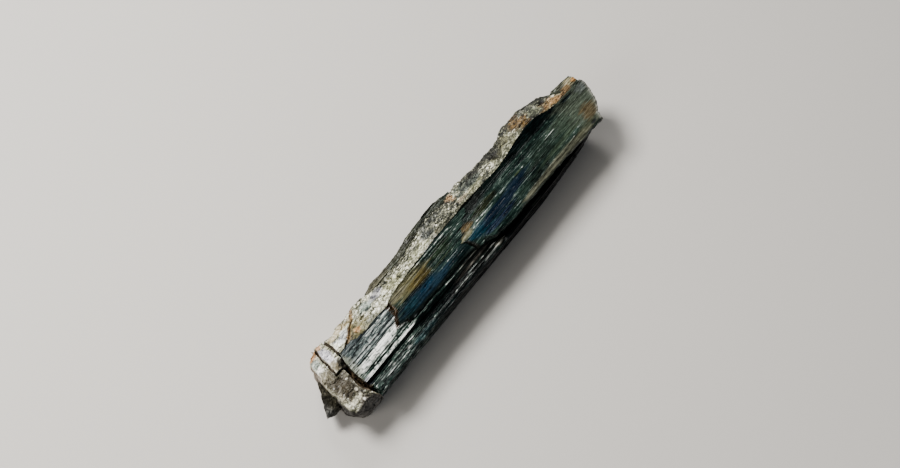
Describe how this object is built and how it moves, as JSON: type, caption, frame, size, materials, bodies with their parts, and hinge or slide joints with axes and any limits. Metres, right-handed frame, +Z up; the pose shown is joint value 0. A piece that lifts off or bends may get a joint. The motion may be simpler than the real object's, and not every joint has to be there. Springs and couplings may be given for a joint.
{
  "type": "kyanite blade cluster",
  "caption": "Elongated cluster of parallel kyanite blades with a mica band and cracked end blocks, lying on its flat underside.",
  "frame": {"origin": "middle of the footprint, on the surface that the specimen rests on", "axes": "+X along the blades towards the free tip, +Y towards the mica side, +Z up"},
  "size_m": [0.109, 0.0206, 0.0155],
  "materials": {
    "silver_kyanite": "silvery striated kyanite, glassy on its ribs, with near-black grooves",
    "teal_kyanite": "dark teal to navy kyanite with fine lengthwise striae and a vitreous gloss",
    "granular_mica": "granular cream mica and quartz with sparkling flakes and rusty stains",
    "cream_crust": "weathered cream to grey-green crust with brown matrix in its cracks"
  },
  "bodies": {
    "root": {"lower_blade": "silver_kyanite", "middle_blade": "teal_kyanite", "upper_blade": "teal_kyanite", "near_side_blade": "teal_kyanite", "far_side_blade": "silver_kyanite", "tip_side_blade": "teal_kyanite", "mica_rind": "granular_mica", "silver_chip": "cream_crust", "end_inner_block": "cream_crust", "end_outer_block": "cream_crust", "foot_fragment": "cream_crust"}
  },
  "joints": []
}
